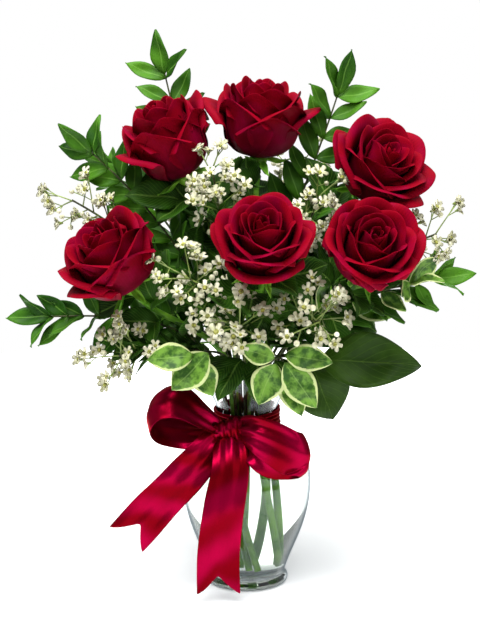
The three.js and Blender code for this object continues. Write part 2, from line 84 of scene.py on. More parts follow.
def turned(name, line, steps):
    """A piece turned on a lathe: its line of (radius, height) is spun round the Z axis."""
    edges = [(i, i + 1) for i in range(len(line) - 1)]
    piece = new_piece(name, [(r, 0, z) for r, z in line], edges, [])
    bpy.ops.object.mode_set(mode="EDIT")
    bpy.ops.mesh.select_all(action="SELECT")
    bpy.ops.mesh.spin(steps=steps, angle=2 * math.pi, center=(0, 0, 0), axis=(0, 0, 1))
    bpy.ops.mesh.select_all(action="SELECT")
    bpy.ops.mesh.remove_doubles(threshold=0.01 * mm)
    bpy.ops.mesh.normals_make_consistent(inside=False)
    bpy.ops.object.mode_set(mode="OBJECT")
    bpy.ops.object.shade_smooth()
    return piece


def bezier(a, b, c, d, count):
    """Points along a cubic curve, with its first point left out."""
    found = []
    for k in range(1, count + 1):
        t = k / count
        u = 1 - t
        found.append(a * u**3 + 3 * b * u * u * t + 3 * c * u * t * t + d * t**3)
    return found


def wall_line(inset, count):
    def v(r, z):
        return Vector((r - inset, z))

    rise = belly_height - waist_height
    shoulder = neck_height - belly_height
    flare = vase_height - neck_height
    grow = belly_radius - waist_radius
    mouth = lip_radius - neck_radius
    line = [v(waist_radius, waist_height)]
    line += bezier(
        line[-1],
        v(waist_radius + 0.35 * grow, waist_height + 0.3 * rise),
        v(belly_radius, belly_height - 0.45 * rise),
        v(belly_radius, belly_height),
        count,
    )
    line += bezier(
        line[-1],
        v(belly_radius, belly_height + 0.55 * shoulder),
        v(neck_radius, neck_height - 0.45 * shoulder),
        v(neck_radius, neck_height),
        count,
    )
    line += bezier(
        line[-1],
        v(neck_radius, neck_height + 0.3 * flare),
        v(lip_radius - 0.2 * mouth, vase_height - 0.35 * flare),
        v(lip_radius, vase_height),
        count,
    )
    return line


def radius_at(line, height):
    for low, high in zip(line, line[1:]):
        if low.y <= height <= high.y:
            return low.x + (high.x - low.x) * (height - low.y) / (high.y - low.y)
    return line[-1].x


def bowl_line(inset, floor, top, count):
    """The inside of the vase, from the middle of its floor round the corner and up its wall."""
    whole = wall_line(inset, count)
    start = floor + 9 * mm
    corner = Vector((radius_at(whole, start), start))
    line = [Vector((0, floor)), Vector((8 * mm, floor)), Vector((16 * mm, floor))]
    line += bezier(Vector((20 * mm, floor)), Vector((corner.x - 4 * mm, floor)),
                   Vector((corner.x - 0.8 * mm, start - 5 * mm)), corner, 8)
    return line + [p for p in whole if start + 0.5 * mm < p.y <= top]


foot_line = [
    (0, 1.6), (14, 1.5), (22, 0.9), (26, 0), (30.5, 0), (32.2, 0.6),
    (33, 2), (33, 3.8), (32.2, 5.4), (30.8, 7.2), (30.4, 9),
]
outer = wall_line(0, 16)
inner = bowl_line(glass_wall, glass_floor, vase_height, 16)
lip = [
    Vector((lip_radius - glass_wall / 2 + glass_wall / 2 * math.cos(a),
            vase_height + glass_wall / 2 * math.sin(a) - 0.4 * mm))
    for a in (0.5, 1.05, 1.57, 2.1, 2.64)
]
glass_line = [Vector((r * mm, z * mm)) for r, z in foot_line] + outer + lip + inner[::-1]
vase = turned("glass_vase", glass_line, 96)


class Amount:
    """A number that varies over a surface: ordinary sums on it add Math nodes."""

    def __init__(self, finish, socket):
        self.finish = finish
        self.socket = socket

    def sum(self, how, *others):
        sockets = {i: v for i, v in enumerate((self, *others))}
        return self.finish.add("ShaderNodeMath", {"operation": how}, sockets)

    def __add__(self, other):
        return self.sum("ADD", other)

    def __mul__(self, other):
        return self.sum("MULTIPLY", other)

    def __sub__(self, other):
        return self.sum("SUBTRACT", other)

    def __rsub__(self, other):
        return self.finish.add("ShaderNodeMath", {"operation": "SUBTRACT"}, {0: other, 1: self})

    def __pow__(self, other):
        return self.sum("POWER", other)

    __radd__ = __add__
    __rmul__ = __mul__

    def band(self, low, high):
        """0 below low, 1 above high, and smooth between."""
        return self.finish.add(
            "ShaderNodeMapRange", {"interpolation_type": "SMOOTHSTEP"}, {0: self, 1: low, 2: high}
        )


class Finish:
    """One material, built round a Principled shader."""

    def __init__(self, name, **constants):
        self.material = bpy.data.materials.new(name)
        self.material.use_nodes = True
        self.tree = self.material.node_tree
        self.shader = next(n for n in self.tree.nodes if n.type == "BSDF_PRINCIPLED")
        for key, value in constants.items():
            self.set(key.replace("_", " "), value)

    def set(self, socket, value):
        self.link(value, self.shader.inputs[socket])

    def link(self, value, socket):
        if isinstance(value, Amount):
            self.tree.links.new(value.socket, socket)
        elif isinstance(value, tuple) and len(value) == 3 and len(socket.default_value) == 4:
            socket.default_value = (*value, 1)
        else:
            socket.default_value = value

    def add(self, kind, settings=None, sockets=None, out=0):
        node = self.tree.nodes.new(kind)
        for key, value in (settings or {}).items():
            setattr(node, key, value)
        for key, value in (sockets or {}).items():
            self.link(value, node.inputs[key])
        return Amount(self, node.outputs[out])

    def place(self):
        return self.add("ShaderNodeTexCoord", out="Object")

    def cloth(self):
        return self.add("ShaderNodeUVMap", {"uv_map": "UVMap"})

    def parts(self, vector):
        node = self.tree.nodes.new("ShaderNodeSeparateXYZ")
        self.link(vector, node.inputs[0])
        return [Amount(self, node.outputs[i]) for i in range(3)]

    def noise(self, vector, scale, detail=3):
        sockets = {"Vector": vector, "Scale": scale, "Detail": detail, "Roughness": 0.55}
        return self.add("ShaderNodeTexNoise", {}, sockets)

    def blend(self, amount, first, second):
        """The first colour where amount is 0, and the second where it is 1."""
        node = self.tree.nodes.new("ShaderNodeMix")
        node.data_type = "RGBA"
        self.link(amount, node.inputs[0])
        self.link(first, node.inputs[6])
        self.link(second, node.inputs[7])
        return Amount(self, node.outputs[2])

    def bump(self, height, strength, distance):
        sockets = {"Strength": strength, "Distance": distance, "Height": height}
        self.set("Normal", self.add("ShaderNodeBump", {}, sockets))


def wear(piece, *finishes):
    piece.data.materials.clear()
    for finish in finishes:
        piece.data.materials.append(finish.material)


def stands_for(piece, slot, *nodes):
    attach(piece, "root")
    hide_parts(*nodes)


clear_glass = Finish(
    "clear_glass", Specular_Tint=(0.35, 0.4, 0.43), Roughness=0.0, IOR=1.5, Transmission_Weight=1.0
)
# Painted reflection: where the glass turns away from view its base colour darkens and it turns metallic,
# standing in for dark surroundings seen in its edges.
painted_dark_rim = clear_glass.add("ShaderNodeLayerWeight", sockets={"Blend": 0.5}, out="Facing").band(0.5, 0.9)
clear_glass.set("Base Color", clear_glass.blend(painted_dark_rim, (0.9, 0.92, 0.91), (0.12, 0.15, 0.17)))
clear_glass.set("Metallic", painted_dark_rim * 0.9)
wear(vase, clear_glass)
stands_for(vase, "glass", "vase")

# ---- water ----
# Still water in the vase. It wets the glass, so its side is the vase's own inner wall and its
# surface climbs a little at the edge.
water_height = 122 * mm
wet = -0.06 * mm
water_line = bowl_line(glass_wall + wet, glass_floor + wet, water_height, 16)
edge = radius_at(wall_line(glass_wall + wet, 16), water_height)
water_line += [Vector((edge, water_height + 0.8 * mm)), Vector((edge - 1.2 * mm, water_height + 0.2 * mm)),
               Vector((edge - 4 * mm, water_height)), Vector((0, water_height))]
water = turned("still_water", water_line, 96)
clear_water = Finish(
    "clear_water", Base_Color=(0.88, 0.93, 0.87), Roughness=0.0, IOR=1.333, Transmission_Weight=1.0
)
wear(water, clear_water)
stands_for(water, "water", "water")

# ---- how the stems stand ----
# Every stem is cut to length and put in one by one. Each passes the narrow neck on the side to
# which it leans, goes out over the lip, and ends in its flower, leaf or sprig.
gap = 0.3 * mm
neck_room = neck_radius - glass_wall - gap
mouth_room = lip_radius - glass_wall - gap - 6 * mm
over_lip = 5 * mm
spiral = 1.4
rose_width = 5 * mm
twig_width = 2.8 * mm
rose_end = 16 * mm
twig_end = 106 * mm
bloom_height = 52 * mm
hip_height = 11 * mm
up = Vector((0, 0, 1))
bowl = wall_line(glass_wall + gap, 16)


def at(x, y, z):
    """A place in the bouquet, in millimetres from the middle of the vase's mouth."""
    return Vector((x * mm, y * mm, vase_height + z * mm))


def toward(x, y, z):
    return Vector((x, y, z)).normalized()


class Stem:
    def __init__(self, name, tip, way, width=twig_width, end=twig_end, **more):
        self.name, self.tip, self.way, self.width, self.end = name, tip, way, width, end
        self.__dict__.update(more)
        lean = math.atan2(math.hypot(tip.x, tip.y), tip.z - neck_height)
        side = math.atan2(tip.y, tip.x)
        far = neck_room * 0.95 * min(lean / 1.25, 1)
        self.neck = Vector((far * math.cos(side), far * math.sin(side)))

    def below(self, height):
        """The stem's place at a height under the neck, where it turns round the others."""
        k = (neck_height - height) / (neck_height - rose_end)
        room = radius_at(bowl, max(height, waist_height + 6 * mm)) - self.width / 2 - 2 * gap
        share = (self.neck.length / neck_room) ** (1 - 0.55 * k)
        spot = self.neck.normalized() * room * share * (1 - 0.35 * math.sin(math.pi * k))
        turn = spiral * k
        return Vector((spot.x * math.cos(turn) - spot.y * math.sin(turn),
                       spot.x * math.sin(turn) + spot.y * math.cos(turn), height))

    def route(self):
        """The stem's points from its cut end to its tip, and how many lie below the mouth."""
        mouth = (self.neck * (mouth_room / neck_room)).to_3d() + up * (vase_height + over_lip)
        reach = (self.tip - mouth).length
        lean = ((self.tip - mouth).normalized() + 1.1 * up).normalized()
        steps = 7 if self.end < 60 * mm else 2
        heights = [self.end + (neck_height - self.end) * k / steps for k in range(steps)]
        flare_height = (neck_height + vase_height) / 2
        flare = self.neck * ((radius_at(bowl, flare_height) - gap) / neck_radius)
        low = [self.below(h) for h in heights]
        low += [self.neck.to_3d() + up * neck_height, flare.to_3d() + up * flare_height, mouth]
        rise = bezier(mouth, mouth + lean * reach * 0.36, self.tip - self.way * reach * 0.3, self.tip, 10)
        return low + rise, len(low)


class Rose(Stem):
    def __init__(self, number, centre, axis, size, tall):
        seat = centre - axis * bloom_height * tall / 2
        tip = seat + axis * (1 * mm - hip_height)
        super().__init__(
            f"rose_{number}_stem", tip, axis, rose_width, rose_end,
            seat=seat, axis=axis, size=size, tall=tall, number=number,
        )


roses = [
    Rose(1, at(-60, -5, 178), toward(-0.4, -0.2, 0.9), 0.98, 1.15),
    Rose(2, at(10, 4, 194), toward(0.05, -0.1, 1), 1, 1.15),
    Rose(3, at(99, -24, 160), toward(0.45, -0.6, 0.75), 1.04, 1),
    Rose(4, at(11, -96, 117), toward(0, -0.6, 0.8), 1, 1),
    Rose(5, at(89, -80, 108), toward(0.15, -0.75, 0.65), 1.06, 1),
    Rose(6, at(-101, -50, 94), toward(-0.45, -0.4, 0.8), 1.04, 1),
]
sprigs = [
    Stem("ruscus_1", at(-64, 32, 226), toward(-0.2, 0, 1), bare=0.66, leaf=40, pairs=4),
    Stem("ruscus_2", at(-120, 4, 168), toward(-0.8, 0, 0.7), bare=0.2, leaf=38, pairs=10),
    Stem("ruscus_3", at(-150, -30, 46), toward(-1, 0.05, -0.05), bare=0.12, leaf=40, pairs=10),
    Stem("ruscus_4", at(70, 16, 212), toward(0.3, 0, 1), bare=0.35, leaf=40, pairs=8),
    Stem("ruscus_5", at(140, -38, 76), toward(1, 0, 0.15), bare=0.12, leaf=38, pairs=10),
    Stem("ruscus_6", at(-112, 96, 150), toward(-0.7, 0.6, 0.5), bare=0.15, leaf=40, pairs=11),
    Stem("ruscus_7", at(118, 88, 140), toward(0.7, 0.6, 0.4), bare=0.15, leaf=40, pairs=11),
    Stem("ruscus_8", at(4, 140, 80), toward(0, 1, 0.1), bare=0.12, leaf=40, pairs=11),
]
heads = [
    Stem("waxflower_1", at(-132, -22, 134), toward(-0.8, -0.4, 0.5)),
    Stem("waxflower_2", at(-96, -58, 22), toward(-0.6, -0.8, 0.1)),
    Stem("waxflower_3", at(-26, -44, 160), toward(-0.1, -0.6, 0.8)),
    Stem("waxflower_4", at(52, -48, 140), toward(0.1, -0.7, 0.7)),
    Stem("waxflower_5", at(-42, -78, 84), toward(-0.3, -0.9, 0.3)),
    Stem("waxflower_6", at(-6, -88, 50), toward(0, -1, 0.1)),
    Stem("waxflower_7", at(52, -96, 56), toward(0.2, -1, 0.1)),
    Stem("waxflower_8", at(140, -46, 112), toward(0.8, -0.5, 0.4)),
    Stem("waxflower_9", at(-58, 84, 150), toward(-0.4, 0.7, 0.7)),
    Stem("waxflower_10", at(46, 88, 152), toward(0.3, 0.7, 0.7)),
]
shoots = [
    Stem("pittosporum_1", at(26, -74, 22), toward(0.2, -1, -0.1), leaf=34),
    Stem("pittosporum_2", at(-46, -66, 22), toward(-0.5, -0.9, -0.1), leaf=34),
    Stem("pittosporum_3", at(122, -58, 76), toward(0.8, -0.6, 0.2), leaf=32),
    Stem("pittosporum_4", at(-16, 112, 116), toward(-0.1, 0.9, 0.4), leaf=32),
]
broad = [
    Stem("salal_1", at(54, -53, 17), toward(1, -0.07, -0.04),
         face=toward(0.05, -0.92, 0.4), length=76 * mm),
    Stem("salal_2", at(49, -42, 10), toward(0.36, -0.04, -0.93),
         face=toward(0.15, -0.97, 0.1), length=44 * mm),
    Stem("salal_3", at(56, 60, 20), toward(0.8, 0.7, -0.3), face=toward(0.2, 0.3, 0.9), length=74 * mm),
    Stem("salal_4", at(-58, 58, 18), toward(-0.8, 0.7, -0.3), face=toward(-0.2, 0.3, 0.9), length=74 * mm),
]
stems = roses + sprigs + heads + shoots + broad

for _ in range(400):
    for i, a in enumerate(stems):
        for b in stems[i + 1:]:
            between = b.neck - a.neck
            short = (a.width + b.width) / 2 + 1.2 * mm - between.length
            if short > 0:
                push = between.normalized() * short * 0.5
                a.neck -= push
                b.neck += push
        most = neck_room - a.width / 2 - 0.3 * mm
        if a.neck.length > most:
            a.neck *= most / a.neck.length


def join(name, pieces):
    bpy.ops.object.select_all(action="DESELECT")
    for piece in pieces:
        piece.select_set(True)
    bpy.context.view_layer.objects.active = pieces[0]
    if len(pieces) > 1:
        bpy.ops.object.join()
    pieces[0].name = name
    return pieces[0]


def round_stem(name, points, widths, sides=4):
    """A round shoot through the points, with its width at each, closed at both ends."""
    curve = bpy.data.curves.new(name, "CURVE")
    curve.dimensions = "3D"
    curve.bevel_depth = 1.0
    curve.bevel_resolution = sides // 2 - 1
    curve.resolution_u = 3
    curve.use_fill_caps = True
    line = curve.splines.new("NURBS")
    line.points.add(len(points) - 1)
    for knot, p, width in zip(line.points, points, widths):
        knot.co = (*p, 1)
        knot.radius = width / 2
    line.use_endpoint_u = True
    line.order_u = min(4, len(points))
    piece = bpy.data.objects.new(name, curve)
    bpy.context.scene.collection.objects.link(piece)
    only(piece)
    bpy.ops.object.convert(target="MESH")
    piece = bpy.context.object
    bpy.ops.object.mode_set(mode="EDIT")
    bpy.ops.mesh.select_all(action="SELECT")
    bpy.ops.mesh.remove_doubles(threshold=0.001 * mm)
    bpy.ops.object.mode_set(mode="OBJECT")
    bpy.ops.object.shade_smooth()
    return piece


def tapered(points, width, lost):
    """A shoot's width at each of its points, with a share of it lost by the tip."""
    return [width * (1 - lost * k / len(points)) for k in range(len(points))]


# ---- satin ribbon ----
# One length of double-faced red satin, tied in a bow at the front of the neck: a gathered band,
# a knot, two loops and two notched tails. It is woven polyester with a bright sheen.
ribbon_width = 34 * mm
knot = Vector((-14, -31, 133)) * mm


def sheet_of(name, across, along, rule):
    """A flat sheet whose points are moved by a rule of where they are: s across, t along it."""
    bpy.ops.object.select_all(action="DESELECT")
    bpy.ops.mesh.primitive_grid_add(x_subdivisions=across, y_subdivisions=along, size=2)
    piece = bpy.context.object
    piece.name = piece.data.name = name
    for v in piece.data.vertices:
        v.co = rule(v.co.x, (v.co.y + 1) / 2)
    return piece


def thicken(piece, thickness, smooth=1):
    only(piece)
    wall = piece.modifiers.new("wall", "SOLIDIFY")
    wall.thickness = thickness
    wall.offset = 0
    bpy.ops.object.modifier_apply(modifier="wall")
    if smooth:
        soft = piece.modifiers.new("soft", "SUBSURF")
        soft.levels = soft.render_levels = smooth
        bpy.ops.object.modifier_apply(modifier="soft")
    bpy.ops.object.shade_smooth()
    return piece


def spline(points, t):
    """A smooth curve through the points: the place at t, from 0 to 1."""
    k = min(int(t * (len(points) - 1)), len(points) - 2)
    u = t * (len(points) - 1) - k
    a = points[max(k - 1, 0)]
    b, c = points[k], points[k + 1]
    d = points[min(k + 2, len(points) - 1)]
    return 0.5 * (
        2 * b + (c - a) * u + (2 * a - 5 * b + 4 * c - d) * u * u + (3 * b - a - 3 * c + d) * u**3
    )


def ribbon(name, middle, across, width, creases, notch=0.0, bulge=Vector((0, 0, 0))):
    """A ribbon along its middle line. across gives its direction over its width at each point,
    width(t) how wide it lies, creases how deep the soft pleats run in from the knot, and bulge how
    far the middle of a loop stands out past its edges."""
    across = [Vector(a).normalized() for a in across]

    def rule(s, t):
        cut = notch * (1 - abs(s)) if t > 0.999 else notch * (1 - abs(s)) * max(0, (t - 0.75) / 0.25)
        t -= cut
        here = spline(middle, t)
        ahead = (spline(middle, min(t + 0.01, 1)) - spline(middle, max(t - 0.01, 0))).normalized()
        side = spline(across, t)
        side = (side - ahead * side.dot(ahead)).normalized()
        out = ahead.cross(side)
        pleat = 1.1 * math.sin(t * 15 + s * 1.2) * min(1, 4 * t)
        pleat += creases(t) * math.sin(s * 8.5 + 0.6) + creases(t) * 0.5 * math.sin(s * 4.1 + 2.0)
        puff = bulge * (0.35 - s * s) * math.sin(math.pi * t) ** 2
        return here + puff + side * s * width(t) / 2 + out * pleat * mm

    return thicken(sheet_of(name, 14, 48, rule), 0.35 * mm)


satin = Finish(
    "red_satin", Roughness=0.3, Metallic=0.75, Specular_IOR_Level=0.15, Specular_Tint=(1.0, 0.06, 0.25)
)
weave = satin.cloth()
u, v, _ = satin.parts(weave)
threads = (v * 900).sum("SINE") * 0.5 + 0.5
# Painted light and shade: soft bands across the satin, lighter and darker along its length and broken up by
# noise, stand in for the light its folds catch.
painted_fold_shade = (v * 19 + (u - 0.5) * 4).sum("SINE") * 0.25 + satin.noise(satin.place(), 25, 2)
satin.set("Base Color", satin.blend(painted_fold_shade.band(0.2, 0.9), (0.13, 0.0004, 0.003), (0.27, 0.0008, 0.026)))
satin.bump(threads, 0.08, 0.05 * mm)


def gather(low, high, power):
    """The width of a loop: narrow at both ends, in the knot, and wide between."""
    return lambda t: (low + (high - low) * math.sin(math.pi * t) ** power) * mm


def open_out(low, high, power):
    """The width of a tail: narrow in the knot, and soon as wide as the ribbon."""
    return lambda t: (low + (high - low) * t**power) * mm


def from_knot(x, y, z):
    return knot + Vector((x, y, z)) * mm


def from_belly(x, y, z):
    """A place beside the knot whose depth is measured from the front of the vase's belly."""
    return Vector((knot.x + x * mm, y * mm - belly_radius, knot.z + z * mm))


loop_left = ribbon(
    "bow_loop_left",
    [from_knot(*p) for p in ((-8, -2, 2), (-22, -7, 14), (-38, -9, 25), (-54, -7, 24), (-62, -2, 13),
                             (-57, 4, 3), (-41, 6, -2), (-24, 5, -4), (-8, 3, -2))],
    [(0.1, 0.8, 0.6)] * 9,
    gather(13, 34, 0.4),
    lambda t: 1.9 * math.cos(math.pi * t) ** 8 + 0.3,
    bulge=Vector((-6, 0, 3)) * mm,
)
loop_right = ribbon(
    "bow_loop_right",
    [from_knot(8, -3, 1)]
    + [from_belly(*p) for p in ((20, 2, 2), (36, -4, -4), (50, -4, -12), (57, 2, -17), (50, 4.5, -20),
                                (36, 3, -18), (22, 5, -9))]
    + [from_knot(8, 1, -2)],
    [(0.2, 0.1, 0.97)] * 9,
    gather(13, 35, 0.4),
    lambda t: 1.9 * math.cos(math.pi * t) ** 8 + 0.3,
    bulge=Vector((11, -2, -3)) * mm,
)
tail_left = ribbon(
    "bow_tail_left",
    [from_knot(-7, -4, -6)] + [from_belly(*p) for p in (
        (-23, 7.5, -22), (-38, 5.5, -38), (-57, 4.5, -58), (-80, 4.5, -84)
    )],
    [(0.9, 0.1, -0.3), (0.88, 0.1, -0.45), (0.84, 0.1, -0.6), (0.78, 0.1, -0.75), (0.7, 0.1, -0.9)],
    open_out(16, 34, 0.22),
    lambda t: 1.8 * (1 - t) ** 10 + 0.35,
    notch=0.14,
)
tail_front = ribbon(
    "bow_tail_front",
    [from_knot(1, -5, -5)] + [from_belly(*p) for p in (
        (1, -1, -28), (-4, -6, -56), (-8, -7, -92), (-8, -5, -125)
    )],
    [(1, 0.1, 0), (1, 0.1, 0), (1, 0.05, 0), (1, 0, 0), (1, 0, 0)],
    open_out(16, 34, 0.22),
    lambda t: 1.8 * (1 - t) ** 10 + 0.35,
    notch=0.14,
)


def band_rule(s, t):
    """The ribbon round the neck: four deep folds run along it."""
    angle = 2 * math.pi * t
    height = neck_height + s * 6.2 * mm + 1.2 * mm * math.sin(angle)
    fold = math.sin(4 * math.pi * s + 0.7 * math.sin(angle * 2) + 0.4 * math.cos(angle * 5))
    radius = radius_at(outer, height) + 1.75 * mm + fold * 1.3 * mm
    return Vector((radius * math.cos(angle), radius * math.sin(angle), height))


def close_round(piece):
    """Welds the two ends of a sheet that was bent into a ring."""
    only(piece)
    bpy.ops.object.mode_set(mode="EDIT")
    bpy.ops.mesh.select_all(action="SELECT")
    bpy.ops.mesh.remove_doubles(threshold=0.01 * mm)
    bpy.ops.object.mode_set(mode="OBJECT")


band = sheet_of("bow_band", 48, 120, band_rule)
close_round(band)
thicken(band, 0.3 * mm, 0)


def knot_rule(s, t):
    """The ribbon once round the middle of the bow, narrower at its two sides."""
    angle = 2 * math.pi * t
    swell = 1 + 0.07 * math.sin(4 * s + 2 * math.cos(angle)) + 0.17 * math.sin(
        13 * s + 1.5 * math.sin(angle)
    )
    high = 8.6 - 1.5 * s * s + 1.2 * s
    deep = 6.4 * mm * math.cos(angle) * swell * (1 - 0.25 * s * s)
    tall = high * mm * math.sin(angle) * swell + s * mm
    return knot + Vector((s * 11 * mm + 1.5 * mm * math.cos(angle), deep, tall))


wrap = sheet_of("bow_knot", 18, 48, knot_rule)
close_round(wrap)
thicken(wrap, 0.5 * mm)

# Each piece, the node that it stands for, the length of ribbon cut for it, and how it is held.
pieces_of_bow = (
    (loop_left, "ribbon_loop_left", (ribbon_width, 0.134), "folded"),
    (loop_right, "ribbon_loop_right", (ribbon_width, 0.127), "folded"),
    (tail_left, "ribbon_tail_left", (ribbon_width, 0.109), "hung"),
    (tail_front, "ribbon_tail_front", (ribbon_width, 0.127), "hung"),
    (band, "ribbon_band", (ribbon_width, 0.16), "gathered"),
    (wrap, "ribbon_knot", (ribbon_width, 0.046), "gathered"),
)
for piece, node, flat, held in pieces_of_bow:
    wear(piece, satin)
    stands_for(piece, "satin", node)

# ---- rose blooms ----
# Each bloom is a spiral of soft petals: a tight furled heart, cupped middle petals, and broad
# outer petals whose margins roll back to a point. They are velvety crimson, with painted shade that darkens
# each petal towards its base, deep in the bloom.
velvet = Finish("crimson_petal", Roughness=0.55, Specular_IOR_Level=0.1, Specular_Tint=(1.0, 0.1, 0.3),
                Sheen_Weight=0.05, Sheen_Roughness=0.4, Sheen_Tint=(1.0, 0.01, 0.15))
_, v, _ = velvet.parts(velvet.cloth())
veins = velvet.add("ShaderNodeTexWave", {"wave_type": "BANDS", "bands_direction": "X"},
                   {"Vector": velvet.cloth(), "Scale": 9, "Distortion": 1.5, "Detail": 2, "Detail Scale": 2})
mottle = velvet.noise(velvet.place(), 60, 3)
# Painted shade: each petal darkens from its margin towards its base, deep in the bloom where shade falls.
depth = velvet.blend(v.band(0.1, 0.95), (0.045, 0.0002, 0.005), (0.21, 0.0006, 0.007))
tinted = velvet.blend(mottle.band(0.4, 0.75) * 0.6, depth, (0.21, 0.0008, 0.03))
velvet.set("Base Color", velvet.blend(veins * 0.15, tinted, (0.07, 0.0003, 0.002)))
velvet.bump(veins, 0.15, 0.15 * mm)

# Petals by whorl, from the heart outwards: how many, how far out they swell and open, how high
# they stand, how far round they wrap, how strongly the margin rolls back and how pointed it is.
whorls = [
    (3, 4.2, 2.6, 46, 2.1, 0.0, 0.1),
    (3, 7.0, 5.0, 48, 1.8, 0.3, 0.1),
    (3, 10.0, 8.5, 49, 1.6, 0.5, 0.12),
    (4, 13.0, 13.0, 49, 1.4, 0.8, 0.15),
    (4, 17.0, 19.0, 48, 1.3, 1.2, 0.2),
    (4, 21.0, 25.5, 46, 1.25, 1.8, 0.26),
    (4, 24.5, 31.0, 42, 1.2, 2.2, 0.3),
]
# How far each rose has opened, and how full it is, next to one that is fully out.
opened = {1: 0.8, 2: 0.95, 3: 1.05, 4: 0.97, 5: 0.88, 6: 0.84}
fullness = {1: 1.1, 2: 1.06, 3: 1.05, 4: 1.0, 5: 1.03, 6: 1.13}
# Outer petals that fall open: the way they fall seen from the front, how far out, and how wide.
fallen = {
    1: [(3.5, 37, 36, 1.0), (0.5, 31, 46, 0.9)],
    2: [(2.9, 41, 42, 0.85), (0.1, 41, 40, 0.9), (-1.3, 33, 34, 1.1)],
    3: [(-0.7, 39, 36, 0.8), (3.0, 36, 38, 0.8), (1.6, 36, 42, 0.8)],
    4: [(-1.57, 40, 27, 1.4), (0.3, 36, 34, 0.8), (2.9, 35, 34, 0.8)],
    5: [(-2.5, 29, 45, 1.5), (0.2, 32, 40, 1.1)],
    6: [(-0.5, 29, 46, 1.4), (-2.4, 35, 32, 0.9), (1.2, 31, 38, 1.1)],
}


def petal(place, turn, swell, open_to, high, half, roll, point, dice):
    """One petal, from its narrow claw at the seat to its rolled margin."""
    phase = dice.uniform(0, 6.28)
    wave = dice.uniform(0.4, 1.0)
    lean = dice.uniform(-0.6, 0.8)
    curled = 0.74
    cup = 0.42
    low = 0.4
    claw = 3.5

    def rule(s, t):
        side = abs(s)
        edge = 1 - point * side**1.5 - 0.06 * side**4
        reach = min(t / curled, 1) * curled * edge
        if reach < cup:
            a = reach / cup * math.pi / 2
            r = claw + (swell - claw) * math.sin(a)
            z = high * low * (1 - math.cos(a))
            slope = 0.0
        else:
            k = (reach - cup) / (1 - cup)
            z = high * (low + (1 - low) * k)
            r = swell + (open_to - swell) * k**1.5 * 1.6
            slope = math.atan2((open_to - swell) * 2.4 * k**0.5, high * (1 - low))
        if t > curled:
            far = (t - curled) / (1 - curled)
            length = high * (1 - curled) * 0.9 * (1 - 0.2 * side**2) * edge
            bend = max(roll * (0.3 + 0.7 * side**0.9), 0.02)
            arc = length / bend
            r += arc * (math.cos(slope) - math.cos(slope + bend * far))
            z += arc * (math.sin(slope + bend * far) - math.sin(slope))
        wide = 0.36 + 0.64 * math.sin(min(1, reach / 0.55) * math.pi / 2)
        wide *= 1 - 0.22 * max(0, t - 0.7) / 0.3
        angle = turn + s * half * wide
        r += 1.1 * s * (0.3 + 0.7 * t) + lean * t * t
        flare = 2.4 * max(0, side - 0.6) ** 2 / 0.16 * t * min(roll, 1.6)
        r += wave * math.sin(3.3 * s + phase) * t * t + flare
        z += 0.9 * wave * math.sin(4.1 * s + phase * 2) * t**3
        return place @ Vector((r * math.cos(angle) * mm, r * math.sin(angle) * mm, z * mm))

    return thicken(sheet_of("petal", 12, 14, rule), 0.4 * mm)


def seat_frame(rose):
    """Where a bloom sits: its seat as the origin, and its axis as Z."""
    turn = up.rotation_difference(rose.axis).to_matrix().to_4x4()
    return Matrix.Translation(rose.seat) @ turn


for rose in roses:
    dice = random.Random(rose.number * 7)
    full = fullness[rose.number]
    place = seat_frame(rose) @ Matrix.Diagonal(
        (rose.size * full, rose.size * full, rose.tall * (full + 0.02), 1)
    )
    petals = []
    turn = rose.number * 1.1
    for count, swell, open_to, high, half, roll, point in whorls:
        turn += 0.9
        for k in range(count):
            spot = turn + 2 * math.pi * k / count + dice.uniform(-0.15, 0.15)
            tall = high + dice.uniform(-1.2, 1.2)
            far = open_to * opened[rose.number] + dice.uniform(-1, 1.5)
            petals.append(
                petal(place, spot, swell, far, tall, half, roll * dice.uniform(0.8, 1.2), point, dice)
            )
    for spot, open_to, high, half in fallen[rose.number]:
        petals.append(petal(place, spot, 24.5, open_to, high, half, 2.2, 0.3, dice))
    bloom = join(f"rose_bloom_{rose.number}", petals)
    wear(bloom, velvet)
    stands_for(bloom, "petals", f"rose_{rose.number}_bloom")

# ---- rose stems ----
# A thick green stem with a swollen hip under the bloom and five pointed sepals that bend back.
# Leaves of three toothed leaflets grow from it, and the lowest leaves hang over the vase's lip.
green_stem = Finish("green_stem", Roughness=0.45, Specular_IOR_Level=0.4)
streak = green_stem.noise(green_stem.place(), 45, 3)
green_stem.set(
    "Base Color", green_stem.blend(streak.band(0.35, 0.7), (0.07, 0.24, 0.008), (0.24, 0.52, 0.04))
)
green_stem.bump(streak, 0.2, 0.3 * mm)


def blade(name, fold, arch, fullness, across=6, along=10, teeth=0.0):
    """A leaf one long and one wide, lying along +Y with its upper side to +Z."""

    def rule(s, t):
        half = 0.5 * max(math.sin(math.pi * t**fullness), 0) ** 0.85
        half *= 1 + teeth * (0.5 + 0.5 * math.cos(t * 60))
        rise = fold * abs(s) * half + arch * (t - t * t) * 4
        return Vector((s * half, t, rise + 0.03 * math.sin(9 * t + 2 * s)))

    return sheet_of(name, across, along, rule)


def leaf_from(pattern, base, along, face, length, width, thickness=0.45 * mm):
    """A copy of a leaf pattern, sized, turned and put in its place."""
    along = along.normalized()
    side = along.cross(face).normalized()
    upper = side.cross(along)
    turn = Matrix((side, along, upper)).transposed().to_4x4()
    leaf = bpy.data.objects.new("leaf", pattern.data.copy())
    bpy.context.scene.collection.objects.link(leaf)
    leaf.data.transform(Matrix.Translation(base) @ turn @ Matrix.Diagonal((width, length, length, 1)))
    return thicken(leaf, thickness, 0)


